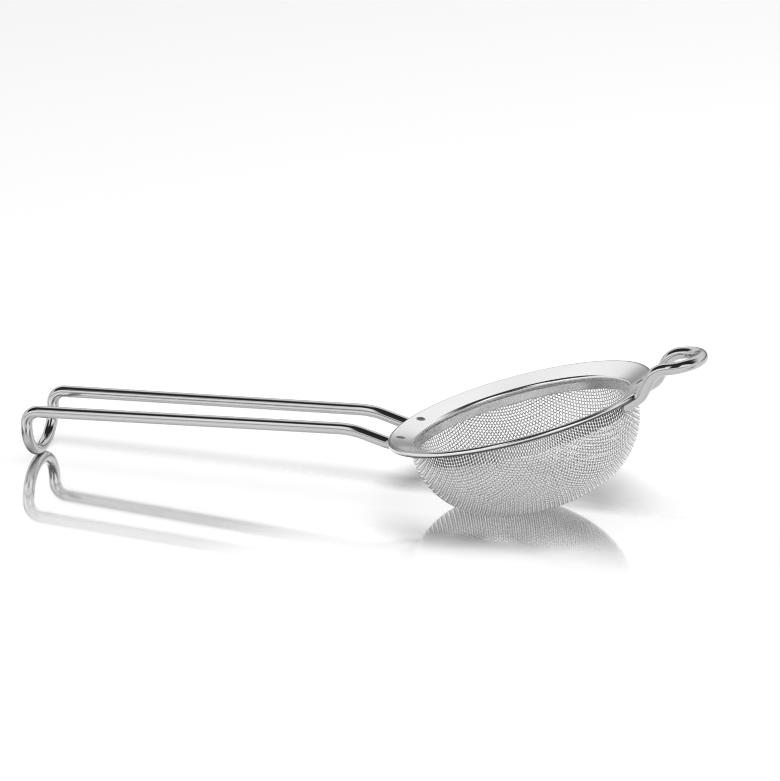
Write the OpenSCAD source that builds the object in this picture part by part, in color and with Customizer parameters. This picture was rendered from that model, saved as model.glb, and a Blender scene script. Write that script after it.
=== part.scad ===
// Tea strainer: a stamped steel rim that carries a woven mesh bowl, a long
// handle and a cup hook bent from round wire, all spot-welded together.
// It is drawn as it rests on a table, on the bowl and on the handle's end
// loop, with the hook side raised.  X runs from handle to hook.

/* [Rim] */
// Outer diameter of the rim
rim_d = 90; // [80:1:110]
// Diameter of the throat, inside the rounded fold
throat_d = 73.2; // [62:0.2:76]
// Slope of the flange, falling towards the throat
flange_slope = 20.9; // [10:0.1:30]
// Thickness of the sheet
sheet_t = 0.5; // [0.4:0.05:0.8]
// Radius of the rolled outer edge
bead_r = 1; // [0.8:0.1:1.4]
// Radius of the fold where the flange turns down into the collar
fold_r = 0.6; // [0.5:0.05:0.9]
// Height of the collar below the fold's centre
collar_h = 4.4; // [3:0.1:8]

/* [Mesh bowl] */
// Thickness of the woven mesh, two wire diameters
mesh_t = 0.55; // [0.4:0.05:0.8]
// Height of the straight wall below the fold's centre
wall_h = 3.73; // [2:0.01:9]
// Outside radius of the bowl's side
side_r = 25; // [18:0.5:30]
// Outside radius of the bowl's bottom
bottom_r = 59; // [50:0.5:80]

/* [Handle] */
// Diameter of the handle and hook wire
wire_d = 4; // [3:0.1:4.4]
// Distance between the handle's wires where they are welded
handle_root_w = 20; // [16:0.5:24]
// Distance between the handle's wires at the end loop
handle_end_w = 23; // [20:0.5:28]
// Length of the straight grip
grip_len = 107.5; // [80:0.5:140]
// Angle at which the wires climb away from the rim
neck_angle = 31; // [27:0.5:36]
// Bend radius where the wires leave the rim
neck_bend_r = 8; // [5:0.5:12]
// Length of the straight neck
neck_len = 7.6; // [6:0.1:12]
// Bend radius between neck and grip
shoulder_r = 28; // [20:1:40]
// Bend radius where the grip turns down into the end loop
end_bend_r = 4.8; // [3.5:0.1:8]
// Length of the end loop's straight sides
loop_side = 0.6; // [0.5:0.1:4]

/* [Cup hook] */
// Distance between the hook's legs
hook_w = 18; // [14:0.5:20]
// Angle at which the legs rise from the rim
hook_angle = 48; // [40:1:60]
// Bend radius where the legs leave the rim
hook_root_r = 5; // [4:0.5:7]
// Length of the straight legs
hook_leg = 6; // [4:0.1:10]
// Bend radius at the top of the legs
hook_top_r = 7; // [5:0.5:9]
// Slope of the outer bow, falling away from the rim
hook_droop = 5; // [0:0.5:10]
// Length of the bow's straight sides
hook_side = 0.6; // [0.5:0.1:6]

/* [Fits] */
// Diameter of a spot weld
weld_d = 2.2; // [1.6:0.1:2.6]
// Gap between wire and flange that a weld fills
weld_gap = 0.12; // [0.08:0.02:0.2]
// Distance of a weld's centre from the wire's end
weld_inset = 1.2; // [1.2:0.1:2.5]
// Depth of the dimple that the welding tip leaves
dimple_depth = 0.15; // [0.05:0.05:0.25]
// Clearance between the wires and the notches in the rolled edge
notch_gap = 0.1; // [0.05:0.05:0.3]
// Clearance between collar and mesh
mesh_gap = 0.05; // [0.02:0.01:0.1]
// Clearance between the mesh's top edge and the flange
mesh_top_gap = 0.6; // [0.3:0.1:1]
// Clearance between the mesh and the wire ends
foot_gap = 0.15; // [0.1:0.05:1]

/* [Resting pose] */
// Tilt of the rim when the strainer stands on a table
rest_tilt = 15.9; // [12:0.1:18]

/* [Hidden] */
ROUND_FN = 144;
FINE_FN = 720;
WIRE_FN = 96;
OVERLAP = 0.3;
BEND_THINNING = 0.01;
BEND_LAP = 0.1;

rim_r = rim_d / 2;
throat_r = throat_d / 2;
wire_r = wire_d / 2;
handle_root_y = handle_root_w / 2;
loop_r = handle_end_w / 2;
hook_r = hook_w / 2;

// The flange's top line touches the rolled edge here and the fold at its inner end.
bead_touch = [rim_r - bead_r - bead_r * sin(flange_slope), bead_r * (cos(flange_slope) - 1)];
fold_x = throat_r + fold_r;
fold_z = flange_top(fold_x - fold_r * sin(flange_slope)) - fold_r * cos(flange_slope);
collar_out = throat_r + 2 * fold_r;
collar_bottom = fold_z - collar_h;

mesh_in = collar_out + mesh_gap;
mesh_out = mesh_in + mesh_t;
mesh_top = flange_under(mesh_out) - mesh_top_gap;
wall_depth = wall_h - fold_z;
side_x = mesh_out - side_r;
bottom_z = sqrt(pow(bottom_r - side_r, 2) - pow(side_x, 2)) - wall_depth;

// The bowl's lowest point, in the tilted pose, stands on the table.
lift = bottom_r - bottom_z * cos(rest_tilt);

// Heights of the flange's two faces, and of a wire lying under it, at radius r.
function flange_top(r) = bead_touch[1] - (bead_touch[0] - r) * tan(flange_slope);
function flange_under(r) = flange_top(r) - sheet_t / cos(flange_slope);
function wire_under(r) = flange_under(r) - (wire_r + weld_gap) / cos(flange_slope);

// A wire's foot runs under the flange at distance y from the middle.  Its end
// is square to the wire, so its upper edge leans towards the mesh.
foot_clear = mesh_out + foot_gap + wire_r * sin(flange_slope);
function foot_start(y) = sqrt(pow(foot_clear, 2) - pow(y - wire_r, 2));
function foot_end(y) = sqrt(pow(rim_r, 2) - pow(y, 2)) + OVERLAP;
function foot_z(x, y) = wire_under(norm([x, y]));
function foot_rise(y) = foot_z(foot_end(y), y) - foot_z(foot_start(y), y);
function foot_angle(y) = atan2(foot_rise(y), foot_end(y) - foot_start(y));
function foot_len(y) = norm([foot_end(y) - foot_start(y), foot_rise(y)]);

// A wire is a list of steps.  [length, 0, roll] runs straight and
// [radius, angle, roll] bends, each after a roll about the wire's own axis.
function heading(steps, start, count) =
    count == 0 ? start : heading(steps, start, count - 1) + steps[count - 1][1];
function step_move(step, h) = step[1] == 0
    ? step[0] * [cos(h), sin(h)]
    : sign(step[1]) * step[0] * [sin(h + step[1]) - sin(h), cos(h) - cos(h + step[1])];
function travel(steps, start, count) = count == 0
    ? [0, 0]
    : travel(steps, start, count - 1) + step_move(steps[count - 1], heading(steps, start, count - 1));

// Two equal legs joined by a bow: out along the steps, round, and back.
function looped(steps, side, radius, roll) = concat(steps,
    [[side, 0, 0], [radius, 180, roll], [side, 0, -roll]],
    [for (i = [len(steps) - 1 : -1 : 0]) steps[i]]);

// From the rim's own frame to the table's frame, and a height there.
function tilted(x, z) = [x * cos(rest_tilt) - z * sin(rest_tilt),
                         x * sin(rest_tilt) + z * cos(rest_tilt) + lift];

// Handle: foot, neck and shoulder are set, and the grip's fall is solved so
// that the end loop's lowest point touches the table.
handle_foot_x = foot_start(handle_root_y);
handle_foot = tilted(-handle_foot_x, foot_z(handle_foot_x, handle_root_y));
handle_foot_heading = foot_angle(handle_root_y) - rest_tilt;
neck_heading = neck_angle - rest_tilt;
neck_steps = [[foot_len(handle_root_y), 0, 0],
              [neck_bend_r, neck_heading - handle_foot_heading, 0],
              [neck_len, 0, 0]];
neck_move = travel(neck_steps, handle_foot_heading, len(neck_steps));
grip_arm = shoulder_r - end_bend_r;
grip_span = norm([grip_arm, grip_len]);
loop_depth = loop_side + loop_r + wire_r - BEND_THINNING;
grip_drop = loop_depth - handle_foot[1] - neck_move[1] + shoulder_r * cos(neck_heading);
grip_fall = acos(grip_drop / grip_span) - atan2(grip_len, grip_arm);
handle_steps = concat(neck_steps, [[shoulder_r, -neck_heading - grip_fall, 0],
                                   [grip_len, 0, 0],
                                   [end_bend_r, grip_fall - 90, 0]]);
handle_move = travel(handle_steps, handle_foot_heading, len(handle_steps));
handle_splay = asin((loop_r - handle_root_y) / handle_move[0]);
handle_end_x = handle_foot[0] - handle_move[0] * cos(handle_splay);

// Hook: drawn in the rim's own frame.
hook_foot_x = foot_start(hook_r);
hook_foot_z = foot_z(hook_foot_x, hook_r);
hook_steps = [[foot_len(hook_r), 0, 0],
              [hook_root_r, hook_angle - foot_angle(hook_r), 0],
              [hook_leg, 0, 0],
              [hook_top_r, -hook_angle - hook_droop, 0]];
hook_move = travel(hook_steps, foot_angle(hook_r), len(hook_steps));
hook_top = tilted(hook_foot_x + hook_move[0], hook_foot_z + hook_move[1]);
hook_tip_x = hook_top[0] + (hook_side + hook_r) * cos(rest_tilt - hook_droop) + wire_r - BEND_THINNING;

// The part's origin is under the middle of its length.
centre_x = (hook_tip_x + handle_end_x - wire_r) / 2;

// Places children drawn in the rim's own frame into the resting pose.
module in_pose() {
    translate([-centre_x, 0, lift]) rotate([0, -rest_tilt, 0]) children();
}

// Draws a wire from the origin along +X, bending towards its own up or down.
module wire(steps, r, i = 0) {
    if (i < len(steps)) {
        size = steps[i][0];
        turn = steps[i][1];
        end = step_move(steps[i], 0);
        rotate([steps[i][2], 0, 0]) {
            if (turn == 0)
                rotate([0, 90, 0]) cylinder(h = size, r = r, $fn = WIRE_FN);
            else
                bend(size, turn, r - BEND_THINNING);
            translate([end[0], 0, end[1]]) rotate([0, -turn, 0]) wire(steps, r, i + 1);
        }
    }
}

// Part of a ring of wire that starts at the origin and turns from +X to +Z.
// Its ends run a little way into the straights on either side.
module bend(radius, turn, r) {
    side = sign(turn);
    lap = BEND_LAP / radius * 180 / PI;
    translate([0, 0, side * radius]) rotate([side * 90, 0, 0]) rotate([0, 0, -90 - lap])
        rotate_extrude(angle = abs(turn) + 2 * lap, $fn = ROUND_FN)
            translate([radius, 0]) circle(r, $fn = WIRE_FN);
}

// The handle's wire, from its left foot round the end loop to its right foot.
module handle_shape(r) {
    translate([handle_foot[0] - centre_x, handle_root_y, handle_foot[1]])
        rotate([0, 0, 180 - handle_splay]) rotate([0, -handle_foot_heading, 0])
            wire(looped(handle_steps, loop_side, loop_r, -90 - handle_splay), r);
}

// The hook's wire, from its left foot round the bow to its right foot.
module hook_shape(r) {
    in_pose() translate([hook_foot_x, hook_r, hook_foot_z])
        rotate([0, -foot_angle(hook_r), 0])
            wire(looped(hook_steps, hook_side, hook_r, 90), r);
}

// Weld centres, in the rim's own frame.
function weld_x(y) = foot_start(y) + weld_inset * cos(foot_angle(y));
handle_weld_x = -weld_x(handle_root_y);
hook_weld_x = weld_x(hook_r);
weld_points = [for (side = [1, -1]) each [[handle_weld_x, side * handle_root_y],
                                          [hook_weld_x, side * hook_r]]];

// Stands children upright on the flange's top face at a point of the rim's plan.
module on_flange(point) {
    translate([point[0], point[1], flange_top(norm(point))])
        rotate([0, 0, atan2(point[1], point[0])]) rotate([0, -flange_slope, 0]) children();
}

module flange_section() {
    inner_touch = [fold_x - fold_r * sin(flange_slope), fold_z + fold_r * cos(flange_slope)];
    down = sheet_t * [sin(flange_slope), -cos(flange_slope)];
    polygon([bead_touch, inner_touch, inner_touch + down, bead_touch + down]);
}

module rim_section() {
    translate([rim_r - bead_r, -bead_r]) circle(bead_r, $fn = WIRE_FN);
    translate([fold_x, fold_z]) circle(fold_r, $fn = WIRE_FN);
    flange_section();
    translate([collar_out - sheet_t, collar_bottom]) square([sheet_t, collar_h]);
}

module dimple() {
    cap_r = (pow(weld_d / 2, 2) + pow(dimple_depth, 2)) / (2 * dimple_depth);
    translate([0, 0, cap_r - dimple_depth]) sphere(cap_r, $fn = ROUND_FN);
}

module rim_ring() {
    color("gainsboro") difference() {
        in_pose() difference() {
            rotate_extrude($fn = ROUND_FN) rim_section();
            for (point = weld_points) on_flange(point) dimple();
        }
        handle_shape(wire_r + notch_gap);
        hook_shape(wire_r + notch_gap);
    }
}

// Half the bowl's section, with its outline moved inwards.
module bowl_section(inset, top) {
    junction = [side_x, -wall_depth - bottom_z] * (bottom_r + 1) / (bottom_r - side_r);
    meet = [junction[0], bottom_z + junction[1]];
    floor_z = bottom_z - bottom_r - 1;
    translate([0, -wall_depth]) square([mesh_out - inset, top + wall_depth]);
    intersection() {
        translate([side_x, -wall_depth]) circle(side_r - inset, $fn = ROUND_FN);
        polygon([[side_x, -wall_depth], meet, [mesh_out + 1, floor_z], [mesh_out + 1, -wall_depth]]);
    }
    intersection() {
        translate([0, bottom_z]) circle(bottom_r - inset, $fn = 2 * ROUND_FN);
        polygon([[0, -wall_depth], [side_x, -wall_depth], meet, [meet[0], floor_z], [0, floor_z]]);
    }
}

module mesh_bowl() {
    color("silver") in_pose() rotate_extrude($fn = ROUND_FN) difference() {
        bowl_section(0, mesh_top);
        bowl_section(mesh_t, mesh_top + 1);
    }
}

module handle_wire() {
    color("lightgray") handle_shape(wire_r);
}

module cup_hook() {
    color("lightgray") hook_shape(wire_r);
}

// A spot weld: the metal that fills the gap between flange and wire.
module weld(point) {
    color("darkgray") difference() {
        in_pose() difference() {
            on_flange(point) translate([0, 0, -sheet_t - weld_d / 4])
                cylinder(h = weld_d / 4 + sheet_t / 2, d = weld_d, $fn = WIRE_FN);
            rotate_extrude($fn = FINE_FN) flange_section();
        }
        children();
    }
}

module handle_weld(side) {
    weld([handle_weld_x, side * handle_root_y]) handle_shape(wire_r);
}

module hook_weld(side) {
    weld([hook_weld_x, side * hook_r]) hook_shape(wire_r);
}

rim_ring();
mesh_bowl();
handle_wire();
cup_hook();
handle_weld(1);  // handle_weld_left
handle_weld(-1);  // handle_weld_right
hook_weld(1);  // hook_weld_left
hook_weld(-1);  // hook_weld_right
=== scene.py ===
import logging
import math
from collections.abc import Sequence
from dataclasses import dataclass, field
from enum import Enum
from functools import reduce
from typing import Any, NamedTuple

import bpy
import numpy as np
from mathutils import Matrix, Vector


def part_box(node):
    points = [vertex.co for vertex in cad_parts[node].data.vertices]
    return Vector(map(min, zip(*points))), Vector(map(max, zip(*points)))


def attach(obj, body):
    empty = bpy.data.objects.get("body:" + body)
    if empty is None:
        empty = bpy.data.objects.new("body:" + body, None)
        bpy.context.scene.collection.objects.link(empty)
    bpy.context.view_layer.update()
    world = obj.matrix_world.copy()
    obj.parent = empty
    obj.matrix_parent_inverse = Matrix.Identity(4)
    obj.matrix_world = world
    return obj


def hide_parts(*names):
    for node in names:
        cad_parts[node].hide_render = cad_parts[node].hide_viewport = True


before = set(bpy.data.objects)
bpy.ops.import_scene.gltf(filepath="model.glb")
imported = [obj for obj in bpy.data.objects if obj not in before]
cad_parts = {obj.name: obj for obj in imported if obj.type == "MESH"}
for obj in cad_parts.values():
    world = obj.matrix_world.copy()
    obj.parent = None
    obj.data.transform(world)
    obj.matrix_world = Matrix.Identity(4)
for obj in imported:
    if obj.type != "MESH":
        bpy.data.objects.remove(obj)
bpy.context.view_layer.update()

Pair = tuple[float, float]
Triple = tuple[float, float, float]
Levels = tuple[Pair, ...]

MM = 0.001
TINY = 1e-9
SINGULAR_GUARD = 1e-12
RISING: Pair = (0.0, 1.0)
FALLING: Pair = (1.0, 0.0)
SHARP_ANGLE = math.radians(40)
POINT_SPACING = 2 * MM
BEND_STEP = math.radians(2.5)
NOISE_SPAN: Pair = (0.3, 0.7)
NOISE_ROUGHNESS = 0.55
LOG = logging.getLogger("tea_strainer")


# ---------------------------------------------------------------- sizes


@dataclass(frozen=True)
class StrainerPlan:
    """The strainer's sizes, in metres and radians, and the places that follow from them."""

    rim_r: float = 45 * MM
    bead_r: float = 1 * MM
    throat_r: float = 36.6 * MM
    flange_slope: float = math.radians(20.9)
    sheet_t: float = 0.5 * MM
    fold_r: float = 0.6 * MM
    collar_h: float = 4.4 * MM
    mesh_t: float = 0.55 * MM
    mesh_gap: float = 0.05 * MM
    mesh_top_gap: float = 0.6 * MM
    wall_h: float = 3.73 * MM
    side_r: float = 25 * MM
    bottom_r: float = 59 * MM
    wire_r: float = 2 * MM
    handle_root_y: float = 10 * MM
    loop_r: float = 11.5 * MM
    grip_len: float = 107.5 * MM
    neck_angle: float = math.radians(31)
    neck_bend_r: float = 8 * MM
    neck_len: float = 7.6 * MM
    shoulder_r: float = 28 * MM
    end_bend_r: float = 4.8 * MM
    loop_side: float = 0.6 * MM
    hook_r: float = 9 * MM
    hook_angle: float = math.radians(48)
    hook_root_r: float = 5 * MM
    hook_leg: float = 6 * MM
    hook_top_r: float = 7 * MM
    hook_droop: float = math.radians(5)
    hook_side: float = 0.6 * MM
    weld_r: float = 1.1 * MM
    weld_gap: float = 0.12 * MM
    weld_inset: float = 1.2 * MM
    dimple_depth: float = 0.15 * MM
    notch_gap: float = 0.1 * MM
    foot_gap: float = 0.15 * MM
    foot_past_rim: float = 0.3 * MM
    rest_tilt: float = math.radians(15.9)

    @property
    def bead_touch(self) -> Pair:
        """Where the flange's top line touches the rolled edge, as radius and height."""
        slope = self.flange_slope
        return (self.rim_r - self.bead_r - self.bead_r * math.sin(slope),
                self.bead_r * (math.cos(slope) - 1))

    @property
    def fold_centre(self) -> Pair:
        """Centre of the fold's round, as radius and height."""
        radius = self.throat_r + self.fold_r
        touch = radius - self.fold_r * math.sin(self.flange_slope)
        return radius, self.flange_top(touch) - self.fold_r * math.cos(self.flange_slope)

    @property
    def collar_out(self) -> float:
        """Outer radius of the collar."""
        return self.throat_r + 2 * self.fold_r

    @property
    def collar_bottom(self) -> float:
        """Height of the collar's lower edge in the rim's frame."""
        return self.fold_centre[1] - self.collar_h

    @property
    def mesh_mid(self) -> float:
        """Radius of the middle of the woven wall."""
        return self.collar_out + self.mesh_gap + self.mesh_t / 2

    @property
    def mesh_out(self) -> float:
        """Radius of the outside of the woven wall."""
        return self.mesh_mid + self.mesh_t / 2

    @property
    def mesh_top(self) -> float:
        """Height of the cloth's top edge in the rim's frame."""
        return self.flange_under(self.mesh_out) - self.mesh_top_gap

    @property
    def wall_depth(self) -> float:
        """Depth of the woven wall's lower edge below the rim's plane."""
        return self.wall_h - self.fold_centre[1]

    @property
    def side_x(self) -> float:
        """Radius of the centre of the bowl's side round."""
        return self.mesh_out - self.side_r

    @property
    def bottom_z(self) -> float:
        """Height of the centre of the bowl's bottom round."""
        reach = self.bottom_r - self.side_r
        return math.sqrt(reach ** 2 - self.side_x ** 2) - self.wall_depth

    @property
    def lift(self) -> float:
        """Height of the rim's centre above the table."""
        return self.bottom_r - self.bottom_z * math.cos(self.rest_tilt)

    def flange_top(self, radius: float) -> float:
        """Height of the flange's top face at a radius."""
        return self.bead_touch[1] - (self.bead_touch[0] - radius) * math.tan(self.flange_slope)

    def flange_under(self, radius: float) -> float:
        """Height of the flange's lower face at a radius."""
        return self.flange_top(radius) - self.sheet_t / math.cos(self.flange_slope)

    def wire_under(self, radius: float) -> float:
        """Height of the middle of a wire that lies under the flange at a radius."""
        return self.flange_under(radius) - (self.wire_r + self.weld_gap) / math.cos(self.flange_slope)

    def foot_start(self, y: float) -> float:
        """Distance along X at which a wire's foot starts, for a foot that lies y to one side."""
        clear = self.mesh_out + self.foot_gap + self.wire_r * math.sin(self.flange_slope)
        return math.sqrt(clear ** 2 - (y - self.wire_r) ** 2)

    def foot_run(self, y: float) -> Pair:
        """The foot's length along X and its rise.

        Args:
            y: How far to one side the foot lies.

        Returns:
            The length and the rise.
        """
        start = self.foot_start(y)
        end = math.sqrt(self.rim_r ** 2 - y ** 2) + self.foot_past_rim
        rise = self.wire_under(math.hypot(end, y)) - self.wire_under(math.hypot(start, y))
        return end - start, rise

    def foot_angle(self, y: float) -> float:
        """The angle at which a foot rises."""
        run, rise = self.foot_run(y)
        return math.atan2(rise, run)

    def foot_len(self, y: float) -> float:
        """The length of a foot."""
        return math.hypot(*self.foot_run(y))

    @property
    def weld_rows(self) -> tuple[Pair, ...]:
        """Each pair of welds, as the centre's place along X and its distance to either side."""
        return tuple((end * (self.foot_start(y) + self.weld_inset * math.cos(self.foot_angle(y))), y)
                     for end, y in ((-1, self.handle_root_y), (1, self.hook_r)))


@dataclass(frozen=True)
class RestPose:
    """Places the rim's own frame on the table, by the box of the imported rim."""

    tilt: float
    centre_x: float
    lift: float

    @classmethod
    def from_frame(cls, plan: StrainerPlan) -> "RestPose":
        """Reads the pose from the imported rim's box.

        Args:
            plan: The strainer's sizes.

        Returns:
            The pose that puts the rim's highest corner where the frame has it.
        """
        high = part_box("rim_ring")[1]
        ring = plan.rim_r - plan.bead_r
        tilt = plan.rest_tilt
        centre_x = high.x - ring * math.cos(tilt) - plan.bead_r * math.sin(tilt) - plan.bead_r
        return cls(tilt, centre_x, plan.lift)

    @property
    def matrix(self) -> np.ndarray:
        """The turn from the rim's frame to the table's, as a 3 by 3 array."""
        c, s = math.cos(self.tilt), math.sin(self.tilt)
        return np.array([[c, 0, -s], [0, 1, 0], [s, 0, c]])

    def place(self, points: np.ndarray) -> np.ndarray:
        """Moves points from the rim's frame to the table's frame."""
        return np.asarray(points, float) @ self.matrix.T + [self.centre_x, 0, self.lift]


# ---------------------------------------------------------------- node sketches


class Sketch:
    """A node tree that is drawn up node by node."""

    def __init__(self, tree: bpy.types.NodeTree) -> None:
        """Starts on a tree.

        Args:
            tree: The shader or geometry tree to draw in.
        """
        self.tree = tree

    @classmethod
    def opened(cls, owner: bpy.types.ID) -> "Sketch":
        """Starts on the emptied tree of a material or a world.

        Args:
            owner: The material or the world.

        Returns:
            The sketch.
        """
        owner.use_nodes = True
        owner.node_tree.nodes.clear()
        return cls(owner.node_tree)

    def node(self, kind: str, inputs: dict[Any, Any] | None = None, **settings: Any) -> bpy.types.Node:
        """Adds a node.

        Args:
            kind: The node's type name.
            inputs: What goes in each socket, by name or number: a value or another node's output.
            settings: The node's own properties.

        Returns:
            The new node.
        """
        made = self.tree.nodes.new(kind)
        for name, value in settings.items():
            setattr(made, name, value)
        for key, value in (inputs or {}).items():
            if isinstance(value, bpy.types.NodeSocket):
                self.tree.links.new(value, made.inputs[key])
            else:
                made.inputs[key].default_value = value
        return made

    def math(self, operation: str, *values: Any) -> bpy.types.NodeSocket:
        """Adds a Math node and gives its result."""
        return self.node("ShaderNodeMath", dict(enumerate(values)), operation=operation).outputs[0]

    def joined(self, operation: str, *values: Any) -> bpy.types.NodeSocket:
        """Joins any number of values by one operation."""
        return reduce(lambda first, second: self.math(operation, first, second), values)

    def mean(self, first: bpy.types.NodeSocket, second: bpy.types.NodeSocket) -> bpy.types.NodeSocket:
        """Gives the mean of two values."""
        return self.math("MULTIPLY", self.math("ADD", first, second), 0.5)

    def vector_math(self, operation: str, *values: Any) -> bpy.types.Node:
        """Adds a Vector Math node."""
        return self.node("ShaderNodeVectorMath", dict(enumerate(values)), operation=operation)

    def split(self, vector: bpy.types.NodeSocket) -> bpy.types.bpy_prop_collection:
        """Gives a vector's three parts."""
        return self.node("ShaderNodeSeparateXYZ", {0: vector}).outputs

    def ranged(self, value: bpy.types.NodeSocket, source: Pair, target: Pair,
               smooth: bool = False) -> bpy.types.NodeSocket:
        """Maps a value from one range to another.

        Args:
            value: The value's socket.
            source: The range that it comes in.
            target: The range that it goes out in.
            smooth: Whether the ends ease in and out.

        Returns:
            The mapped value's socket.
        """
        kind = "SMOOTHSTEP" if smooth else "LINEAR"
        return self.node("ShaderNodeMapRange", dict(enumerate((value, *source, *target))),
                         interpolation_type=kind, clamp=True).outputs[0]

    def eased(self, value: bpy.types.NodeSocket, span: Pair, ends: Pair = RISING,
              base: float = 0.0) -> bpy.types.NodeSocket:
        """Eases from one level to another over a span that is measured from a base."""
        return self.ranged(value, (base + span[0], base + span[1]), ends, True)

    def noise(self, vector: bpy.types.NodeSocket, scale: float, detail: float) -> bpy.types.NodeSocket:
        """Adds a noise pattern and gives its grey value."""
        return self.node("ShaderNodeTexNoise", {"Vector": vector, "Scale": scale, "Detail": detail,
                                                "Roughness": NOISE_ROUGHNESS}).outputs[0]

    def stretched(self, vector: bpy.types.NodeSocket, scale: Triple, turn: Triple = (0, 0, 0)) -> bpy.types.NodeSocket:
        """Scales and turns a pattern's coordinates."""
        return self.node("ShaderNodeMapping", {"Vector": vector, "Scale": scale, "Rotation": turn}).outputs[0]

    def blend(self, factor: bpy.types.NodeSocket, low: Any, high: Any) -> bpy.types.NodeSocket:
        """Mixes two colours by a factor.

        Args:
            factor: The share of the second colour.
            low: The first colour, as a socket or three numbers.
            high: The second colour.

        Returns:
            The mixed colour's socket.
        """
        mix = self.node("ShaderNodeMix", {0: factor}, data_type="RGBA")
        for index, value in ((6, low), (7, high)):
            if isinstance(value, bpy.types.NodeSocket):
                self.tree.links.new(value, mix.inputs[index])
            else:
                mix.inputs[index].default_value = (*value, 1)
        return mix.outputs[2]


# ---------------------------------------------------------------- finishes


class Pattern(NamedTuple):
    """The grey values that a finish is mixed from."""

    # Real wear and heat tint on some finishes, and painted shade on the sheet and the cloth, as one factor towards the
    # darker colour.
    stain_and_painted_shade: bpy.types.NodeSocket
    gloss: bpy.types.NodeSocket
    height: bpy.types.NodeSocket


@dataclass(frozen=True)
class Ground:
    """What a pattern is drawn on: a material's tree, the piece's own coordinates, and the strainer."""

    sketch: Sketch
    own: bpy.types.NodeSocket
    plan: StrainerPlan
    pose: RestPose


@dataclass(frozen=True)
class SteelFinish:
    """A bare stainless steel surface."""

    name: str
    colour: Triple
    shade: Triple
    roughness: float
    roughness_swing: float
    line_depth: float

    def pattern(self, ground: Ground) -> Pattern:
        """Draws the finish's own pattern."""
        raise NotImplementedError

    def material(self, plan: StrainerPlan, pose: RestPose) -> bpy.types.Material:
        """Builds the material.

        Args:
            plan: The strainer's sizes, for marks that follow them.
            pose: The rim's place, for lines that run round it.

        Returns:
            The finished material.
        """
        made = bpy.data.materials.new(self.name)
        sketch = Sketch.opened(made)
        own = sketch.node("ShaderNodeTexCoord").outputs["Object"]
        drawn = self.pattern(Ground(sketch, own, plan, pose))
        swing = (self.roughness - self.roughness_swing, self.roughness + self.roughness_swing)
        bump = sketch.node("ShaderNodeBump", {"Strength": 1.0, "Distance": self.line_depth, "Height": drawn.height})
        shader = sketch.node("ShaderNodeBsdfPrincipled", {
            "Base Color": sketch.blend(drawn.stain_and_painted_shade, self.colour, self.shade),
            "Metallic": 1.0,
            "Roughness": sketch.ranged(drawn.gloss, NOISE_SPAN, swing),
            "Normal": bump.outputs["Normal"]})
        sketch.node("ShaderNodeOutputMaterial", {"Surface": shader.outputs[0]})
        return made


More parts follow.
